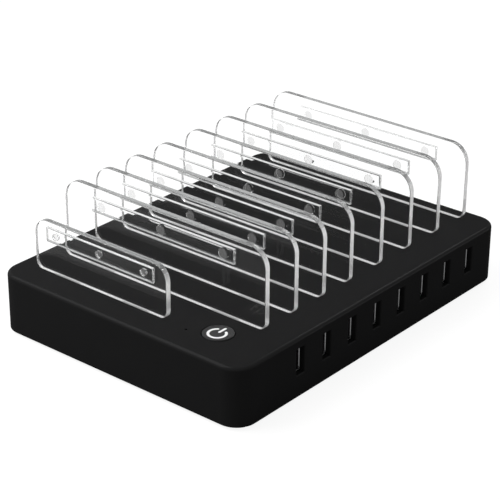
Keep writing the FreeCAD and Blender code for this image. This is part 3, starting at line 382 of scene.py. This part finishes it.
def acrylic(name, pegs, strip, plate, base):
    """Clear polished sheet with milky edges, greyish peg ends and a painted highlight, a pale cloudy line
    along its lower outline.
    """
    material, tree, shader = start_material(name, IOR=ACRYLIC_IOR, Specular_Tint=CLEAR_GLOSS)
    edges = cut_edges(tree)
    sides = turned_aside(tree)
    left = turned_against(tree, "X")
    marks = spread(tree, patches(tree, SAW_MARK), 0.0, 1.0, *SAW_MARK_RAMP)
    clouds = [sheet_cloud(tree, edges, sides, left, marks)]
    color = sheet_color(tree, edges, sides, marks)
    ends = peg_ends(tree, pegs, strip)
    # painted highlight: a pale cloudy line along the foot of the divider, standing in for the light gathered
    # there
    base_highlight = base_line(tree, plate, base)
    for share, cloud, grey in ((ends, PEG_CLOUD, PEG_GREY), (base_highlight, BASE_HIGHLIGHT_CLOUD, BASE_HIGHLIGHT_GREY)):
        clouds.append(product(tree, share, cloud))
        color = blend_colors(tree, share, color, grey)
    set_cloud(tree, shader, strongest(tree, *clouds))
    tree.links.new(color, shader.inputs["Base Color"])
    tree.links.new(sheet_roughness(tree, edges, sides, left), shader.inputs["Roughness"])
    hide(tree, shader, product(tree, edges, within_strip(tree, strip)), pegs["cling"])
    return material


def silicone(name, pegs, strip):
    """Clear soft rubber with cloudy edges, painted shade on the edges that face down, and a cloudy lower
    border.
    """
    material, tree, shader = start_material(name, IOR=SILICONE_IOR, Specular_Tint=CLEAR_GLOSS)
    edges = cut_edges(tree)
    sides = turned_aside(tree)
    band = lower_border(tree, strip)
    edge_cloud = spread(tree, sides, RUBBER_CLOUD, RUBBER_END_CLOUD)
    clouds = [product(tree, edges, edge_cloud), product(tree, band, BAND_CLOUD)]
    set_cloud(tree, shader, strongest(tree, *clouds))
    # painted shade: the strip's cut edges that face down take a darker grey than the others
    underside_shade = turned_against(tree, "Z", RUBBER_AGAINST_RAMP)
    edge_color = blend_colors(tree, underside_shade, STRIP_WHITE, BAND_AND_UNDERSIDE_SHADE_GREY)
    color = blend_colors(tree, edges, CLEAR_RUBBER, edge_color)
    tree.links.new(blend_colors(tree, band, color, BAND_AND_UNDERSIDE_SHADE_GREY), shader.inputs["Base Color"])
    haze = spread(tree, patches(tree, RUBBER_HAZE_WIDTH), 0.0, RUBBER_HAZE)
    tree.links.new(haze, shader.inputs["Roughness"])
    hide(tree, shader, product(tree, edges, clinging(tree, pegs, strip, sides)), pegs["cling"])
    return material


def casing_height():
    """How high the top of the casing is, on which the dividers stand."""
    _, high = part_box("upper_housing")
    return high.z


def clear_materials(ending, number, pegs):
    """The sheet and the rubber of one size of divider, measured on the divider with that number."""
    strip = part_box(f"bumper_strip_{number}")
    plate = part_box(f"divider_{number}")
    return [
        acrylic(f"clear_acrylic{ending}", pegs, strip, plate, casing_height()),
        silicone(f"clear_silicone{ending}", pegs, strip),
    ]


# Other materials
def finished(name, dark, light, smooth, rough, patch, grain, relief, **constants):
    """A surface whose shade and roughness drift over patches, with a fine grain on it."""
    material, tree, shader = start_material(name, **constants)
    drift = patches(tree, patch)
    tree.links.new(blend_colors(tree, drift, dark, light), shader.inputs["Base Color"])
    tree.links.new(spread(tree, drift, smooth, rough), shader.inputs["Roughness"])
    raise_surface(tree, shader, patches(tree, grain, GRAIN_DETAIL), relief)
    return material


def polish_edges(material):
    """Gives the rounded upper edges of a moulding a shine."""
    tree = material.node_tree
    shader = tree.nodes["Principled BSDF"]
    upward = coordinates(tree, "Normal")["Z"]
    above_sides = spread(tree, upward, 0.0, EDGE_POLISH, *ABOVE_SIDES_RAMP)
    below_tops = spread(tree, upward, 1.0, 0.0, *BELOW_TOPS_RAMP)
    tree.links.new(product(tree, above_sides, below_tops), shader.inputs["Coat Weight"])
    shader.inputs["Coat Roughness"].default_value = EDGE_POLISH_ROUGHNESS
    return material


def casing_materials():
    """The casing, its feet and screws, and the button with its symbol."""
    casing = finished(
        "casing_plastic", dark=(0.0155, 0.0155, 0.0158), light=(0.0178, 0.0178, 0.0181),
        smooth=0.44, rough=0.5, patch=20 * MM, grain=0.5 * MM, relief=0.004 * MM, Specular_IOR_Level=0.002)
    feet = finished(
        "foot_rubber", dark=(0.01, 0.01, 0.01), light=(0.016, 0.016, 0.016),
        smooth=0.7, rough=0.85, patch=3 * MM, grain=0.3 * MM, relief=0.01 * MM, Specular_IOR_Level=0.2)
    button = finished(
        "button_plastic", dark=(0.02, 0.02, 0.0205), light=(0.023, 0.023, 0.0235),
        smooth=0.28, rough=0.34, patch=8 * MM, grain=0.4 * MM, relief=0.002 * MM, Specular_IOR_Level=0.1)
    symbol = finished(
        "symbol_white", dark=(0.9, 0.9, 0.9), light=(0.95, 0.95, 0.95),
        smooth=0.35, rough=0.42, patch=4 * MM, grain=0.3 * MM, relief=0.002 * MM)
    screws = finished(
        "screw_steel", dark=(0.42, 0.42, 0.43), light=(0.55, 0.55, 0.56),
        smooth=0.28, rough=0.42, patch=1.5 * MM, grain=0.2 * MM, relief=0.004 * MM, Metallic=1.0)
    return [polish_edges(casing), feet, polish_edges(button), symbol, screws]


def socket_materials():
    """The metal and plastic of the sockets."""
    shells = finished(
        "shell_metal", dark=(0.4, 0.4, 0.41), light=(0.5, 0.5, 0.5),
        smooth=0.24, rough=0.34, patch=3 * MM, grain=0.3 * MM, relief=0.003 * MM, Metallic=1.0)
    contacts = finished(
        "contact_metal", dark=(0.75, 0.52, 0.22), light=(0.86, 0.64, 0.3),
        smooth=0.2, rough=0.3, patch=1 * MM, grain=0.2 * MM, relief=0.002 * MM, Metallic=1.0)
    tongues = finished(
        "socket_plastic", dark=(0.011, 0.011, 0.011), light=(0.016, 0.016, 0.016),
        smooth=0.45, rough=0.55, patch=3 * MM, grain=0.3 * MM, relief=0.004 * MM, Specular_IOR_Level=0.25)
    return [shells, contacts, tongues]


def board_materials():
    """The boards and the plain parts on them."""
    boards = finished(
        "board_laminate", dark=(0.012, 0.075, 0.03), light=(0.02, 0.11, 0.045),
        smooth=0.3, rough=0.42, patch=5 * MM, grain=0.4 * MM, relief=0.006 * MM)
    components = finished(
        "component_plastic", dark=(0.012, 0.012, 0.012), light=(0.02, 0.02, 0.02),
        smooth=0.4, rough=0.55, patch=3 * MM, grain=0.3 * MM, relief=0.005 * MM)
    sleeves = finished(
        "capacitor_sleeve", dark=(0.01, 0.014, 0.035), light=(0.016, 0.02, 0.05),
        smooth=0.25, rough=0.36, patch=5 * MM, grain=0.5 * MM, relief=0.004 * MM)
    return [boards, components, sleeves]


def supply_materials():
    """The choke, the transformer and the heat sink of the mains supply."""
    choke = finished(
        "choke_wire", dark=(0.5, 0.2, 0.09), light=(0.66, 0.3, 0.14),
        smooth=0.25, rough=0.4, patch=2 * MM, grain=0.5 * MM, relief=0.02 * MM, Metallic=1.0)
    core = finished(
        "ferrite", dark=(0.03, 0.03, 0.032), light=(0.055, 0.055, 0.058),
        smooth=0.6, rough=0.75, patch=2 * MM, grain=0.2 * MM, relief=0.01 * MM)
    winding = finished(
        "winding_tape", dark=(0.55, 0.38, 0.04), light=(0.66, 0.48, 0.07),
        smooth=0.3, rough=0.42, patch=4 * MM, grain=0.5 * MM, relief=0.01 * MM)
    sink = finished(
        "sink_aluminium", dark=(0.6, 0.61, 0.62), light=(0.72, 0.73, 0.74),
        smooth=0.34, rough=0.48, patch=2 * MM, grain=0.2 * MM, relief=0.006 * MM, Metallic=1.0)
    return [choke, core, winding, sink]


def glass_materials():
    """The lamp and the fuse."""
    lamp = finished(
        "lamp_clear", dark=(0.93, 0.95, 0.95), light=(0.97, 0.98, 0.98),
        smooth=0.05, rough=0.1, patch=1 * MM, grain=0.3 * MM, relief=0.001 * MM, Transmission_Weight=0.9)
    fuse = finished(
        "fuse_glass", dark=(0.9, 0.93, 0.92), light=(0.96, 0.97, 0.97),
        smooth=0.02, rough=0.06, patch=2 * MM, grain=0.5 * MM, relief=0.001 * MM, Transmission_Weight=0.9)
    return [lamp, fuse]


# Dressing
def drop_plain_materials():
    """Frees the slots' names for the finished materials."""
    for material in list(bpy.data.materials):
        bpy.data.materials.remove(material)


def dress(name, material):
    """Gives a node one material."""
    materials = frame["nodes"][name].data.materials
    materials.clear()
    materials.append(material)


def dress_nodes():
    """Every node takes the material of its slot. The small divider and its strip have their own."""
    made = clear_materials("", LARGE_DIVIDER, LARGE_PEGS)
    for group in (casing_materials, socket_materials, board_materials, supply_materials, glass_materials):
        made.extend(group())
    by_slot = {material.name: material for material in made}
    for item in frame["record"]["subparts"]:
        dress(item["node"], by_slot[item["material_slot"]])
    small_sheet, small_rubber = clear_materials("_small", SMALL_DIVIDER, SMALL_PEGS)
    dress(f"divider_{SMALL_DIVIDER}", small_sheet)
    dress(f"bumper_strip_{SMALL_DIVIDER}", small_rubber)


def swell(node, growth):
    """Moves the surface of a clear piece out by a hair, or in where the growth is negative."""
    weld = node.modifiers.new("weld", "WELD")
    weld.merge_threshold = WELD_REACH
    move = node.modifiers.new("swell", "DISPLACE")
    move.mid_level = 0.0
    move.strength = growth


def fit_clear_pieces():
    """Soft strips grip their pegs, dividers keep some air around them, and the lamps' light passes both."""
    growths = {"divider_": -DIVIDER_AIR, "bumper_strip_": STRIP_SWELL}
    for name, node in frame["nodes"].items():
        for start, growth in growths.items():
            if name.startswith(start):
                swell(node, growth)
                node.visible_shadow = False
                node.visible_diffuse = False


# Stage
def make_camera():
    """The camera at the photograph's viewing angle."""
    flat = math.cos(CAMERA_RISE)
    back = Vector((math.sin(CAMERA_TURN) * flat, -math.cos(CAMERA_TURN) * flat, math.sin(CAMERA_RISE)))
    level_right = Vector((math.cos(CAMERA_TURN), math.sin(CAMERA_TURN), 0.0))
    level_up = back.cross(level_right)
    right = level_right * math.cos(CAMERA_ROLL) + level_up * math.sin(CAMERA_ROLL)
    up = level_up * math.cos(CAMERA_ROLL) - level_right * math.sin(CAMERA_ROLL)
    lens = bpy.data.cameras.new("camera")
    lens.lens = CAMERA_LENS
    lens.sensor_width = CAMERA_SENSOR
    camera = bpy.data.objects.new("camera", lens)
    place = CAMERA_TARGET + right * CAMERA_ASIDE + up * CAMERA_ABOVE + back * CAMERA_DISTANCE
    camera.matrix_world = Matrix.Translation(place) @ Matrix((right, up, back)).transposed().to_4x4()
    bpy.context.scene.collection.objects.link(camera)
    bpy.context.scene.camera = camera


def seen_directly(tree):
    """1 for rays from the camera, through clear pieces or from shiny ones."""
    path = add_node(tree, "LightPath")
    kinds = ("Is Camera Ray", "Is Transmission Ray", "Is Glossy Ray")
    return strongest(tree, *[path.outputs[kind] for kind in kinds])


def dim_in_mirrors(tree, share):
    """A share for rays that a surface has mirrored once, and 1 for the rest."""
    path = add_node(tree, "LightPath")
    once = math_node(tree, "COMPARE", path.outputs["Glossy Depth"], 1.0)
    return spread(tree, once, 1.0, share)


def matt_grey(tree, level):
    """A shader for a matt grey surface."""
    shader = add_node(tree, "BsdfDiffuse")
    shader.inputs["Color"].default_value = (level, level, level, 1.0)
    return shader.outputs["BSDF"]


def floor_material():
    """A pale floor that is seen as white, with the object's shadow on it."""
    material = bpy.data.materials.new("floor")
    material.use_nodes = True
    tree = material.node_tree
    tree.nodes.remove(tree.nodes["Principled BSDF"])
    glow = add_node(tree, "Emission")
    glow.inputs["Strength"].default_value = FLOOR_GLOW
    white = add_node(tree, "AddShader")
    tree.links.new(matt_grey(tree, FLOOR_SHADE), white.inputs[0])
    tree.links.new(glow.outputs["Emission"], white.inputs[1])
    choice = add_node(tree, "MixShader")
    seen = product(tree, seen_directly(tree), dim_in_mirrors(tree, FLOOR_MIRRORED))
    tree.links.new(seen, choice.inputs["Fac"])
    tree.links.new(matt_grey(tree, FLOOR_GREY), choice.inputs[1])
    tree.links.new(white.outputs["Shader"], choice.inputs[2])
    tree.links.new(choice.outputs["Shader"], tree.nodes["Material Output"].inputs["Surface"])
    return material


def make_floor():
    """A flat floor under the feet."""
    mesh = bpy.data.meshes.new("floor")
    side = FLOOR_HALF
    corners = [(-side, -side, 0.0), (side, -side, 0.0), (side, side, 0.0), (-side, side, 0.0)]
    mesh.from_pydata(corners, [], [(0, 1, 2, 3)])
    mesh.materials.append(floor_material())
    floor = bpy.data.objects.new("floor", mesh)
    bpy.context.scene.collection.objects.link(floor)


def make_world():
    """White where it is seen, and a dimmer even light on the object."""
    world = bpy.data.worlds.new("world")
    world.use_nodes = True
    tree = world.node_tree
    strength = spread(tree, seen_directly(tree), WORLD_LIGHT, 1.0)
    background = tree.nodes["Background"]
    background.inputs["Color"].default_value = (1.0, 1.0, 1.0, 1.0)
    tree.links.new(strength, background.inputs["Strength"])
    bpy.context.scene.world = world


def make_lamp(name, size, power, place):
    """A soft lamp of some width and height, turned to the object."""
    light = bpy.data.lights.new(name, "AREA")
    light.shape = "RECTANGLE"
    light.size, light.size_y = size
    light.energy = power
    lamp = bpy.data.objects.new(name, light)
    lamp.location = place
    lamp.rotation_euler = (-place).to_track_quat("-Z", "Y").to_euler()
    bpy.context.scene.collection.objects.link(lamp)


def make_lamps():
    """A soft lamp above the front left, a weak long one behind, and a weak low one behind the right side."""
    make_lamp("softbox", SOFTBOX_SIZE, SOFTBOX_POWER, SOFTBOX_PLACE)
    make_lamp("rim_lamp", RIM_LAMP_SIZE, RIM_LAMP_POWER, RIM_LAMP_PLACE)
    make_lamp("side_lamp", SIDE_LAMP_SIZE, SIDE_LAMP_POWER, SIDE_LAMP_PLACE)


def set_light_paths():
    """Lets light pass the whole row of clear dividers, and shows colours as they are."""
    scene = bpy.context.scene
    scene.cycles.max_bounces = CLEAR_BOUNCES
    scene.cycles.transmission_bounces = CLEAR_BOUNCES
    scene.cycles.glossy_bounces = GLOSS_BOUNCES
    scene.view_settings.view_transform = "Standard"


drop_plain_materials()
make_camera()
make_floor()
make_world()
make_lamps()
set_light_paths()
dress_nodes()
fit_clear_pieces()
